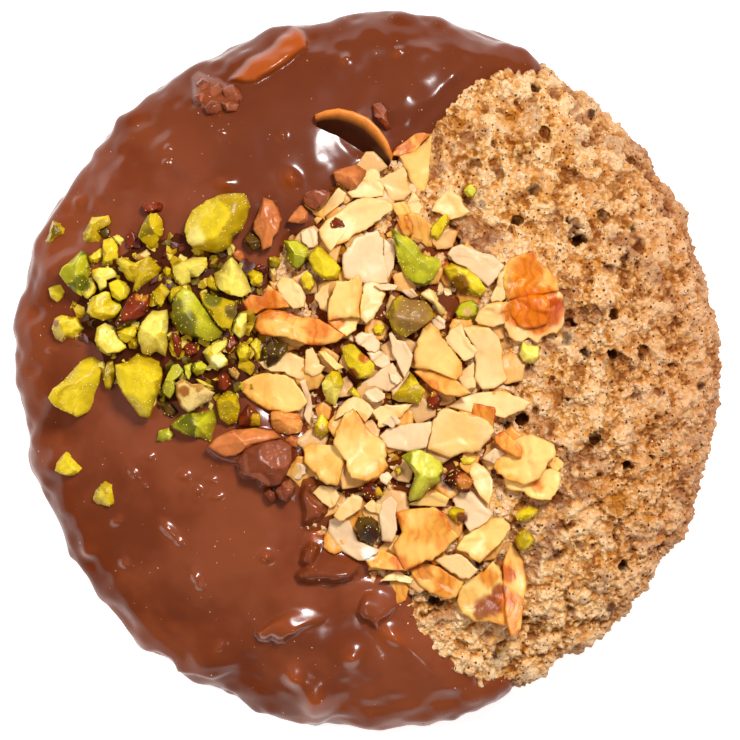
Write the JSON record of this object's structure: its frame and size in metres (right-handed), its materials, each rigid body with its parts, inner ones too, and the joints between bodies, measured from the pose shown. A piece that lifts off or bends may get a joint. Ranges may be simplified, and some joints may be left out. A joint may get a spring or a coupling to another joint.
{
  "type": "pistachio lebkuchen",
  "caption": "Round soft gingerbread biscuit, half coated in milk chocolate, with a heap of chopped pistachios and flaked almonds on top.",
  "frame": {"origin": "centre of the flat base, on the surface the biscuit lies on", "axes": "+Z up out of the biscuit's top; +X towards the bare crumb, away from the chocolate; +Y up in the picture"},
  "size_m": [0.0989, 0.1002, 0.0222],
  "materials": {
    "crumb": "rough, porous baked crumb",
    "chocolate": "satin milk chocolate",
    "pistachio": "satin chopped nut",
    "almond": "satin sliced nut, toasted in places"
  },
  "bodies": {
    "root": {"biscuit": "crumb", "chocolate": "chocolate", "pistachio_heap": "pistachio", "pistachio_kernel": "pistachio", "almond_heap": "almond", "upper_almond_rosette": "almond", "lower_almond_rosette": "almond"}
  },
  "joints": []
}
